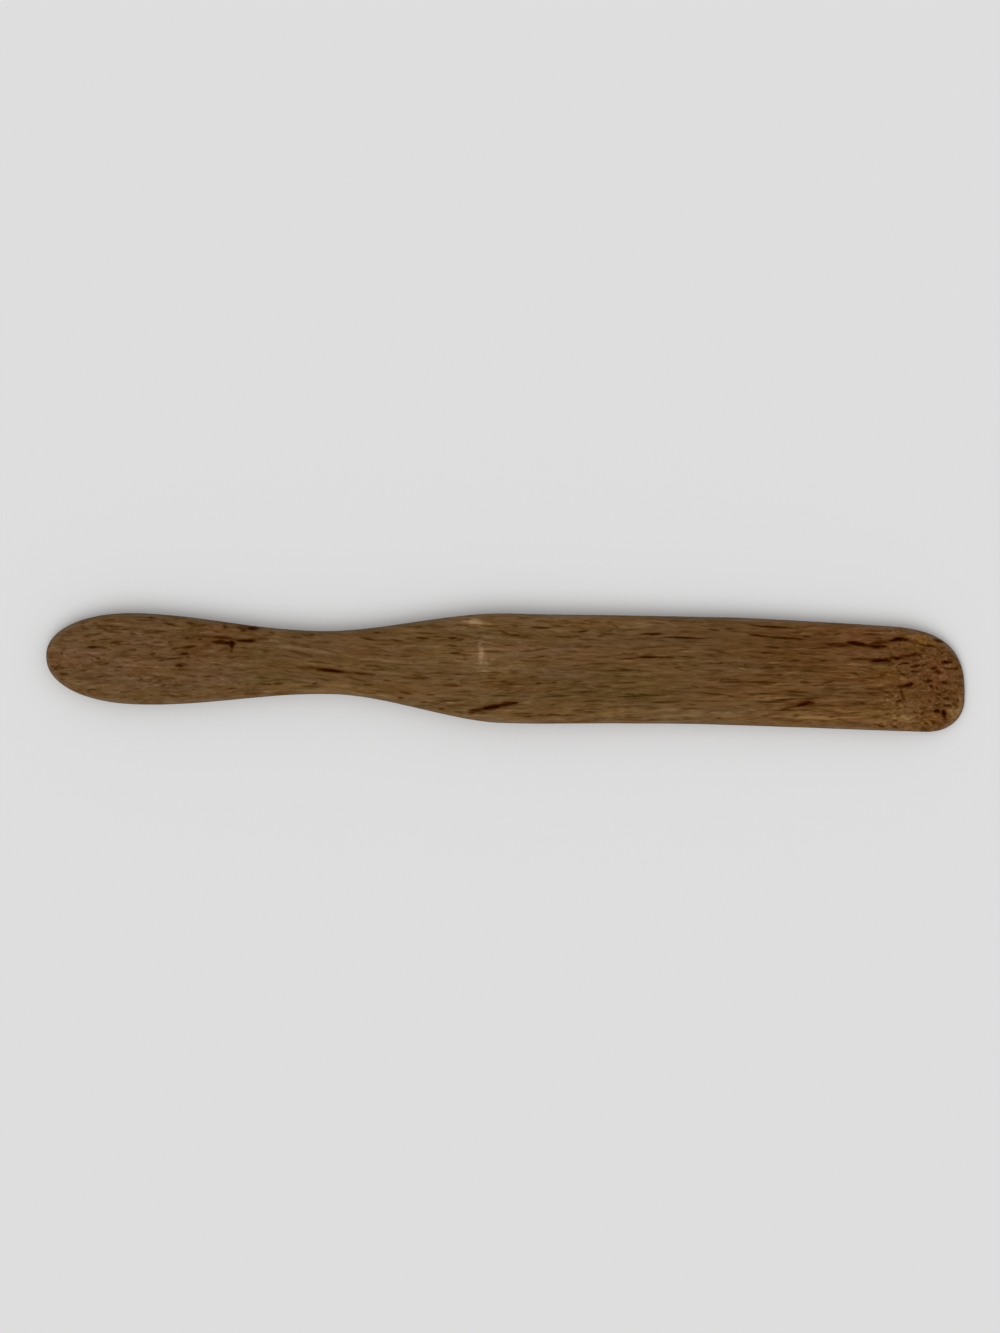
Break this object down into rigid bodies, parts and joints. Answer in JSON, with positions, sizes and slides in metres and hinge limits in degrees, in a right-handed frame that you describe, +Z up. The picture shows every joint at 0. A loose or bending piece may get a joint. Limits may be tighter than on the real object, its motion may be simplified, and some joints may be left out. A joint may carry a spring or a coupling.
{
  "type": "spurtle",
  "caption": "Flat wooden spurtle carved from one piece, with a round-ended grip, a slim neck and a long blade thinned at its tip.",
  "frame": {"origin": "middle of the bounding box, on the flat underside", "axes": "+X from the grip's end towards the blade's tip, +Y towards the edge whose tip corner is the wider round, +Z up from the underside to the crowned face"},
  "size_m": [0.3, 0.0362, 0.0088],
  "materials": {
    "carved_hardwood": "worn, lightly oiled coarse-pored hardwood, paler along the worn rim"
  },
  "bodies": {
    "root": {"spurtle_body": "carved_hardwood"}
  },
  "joints": []
}
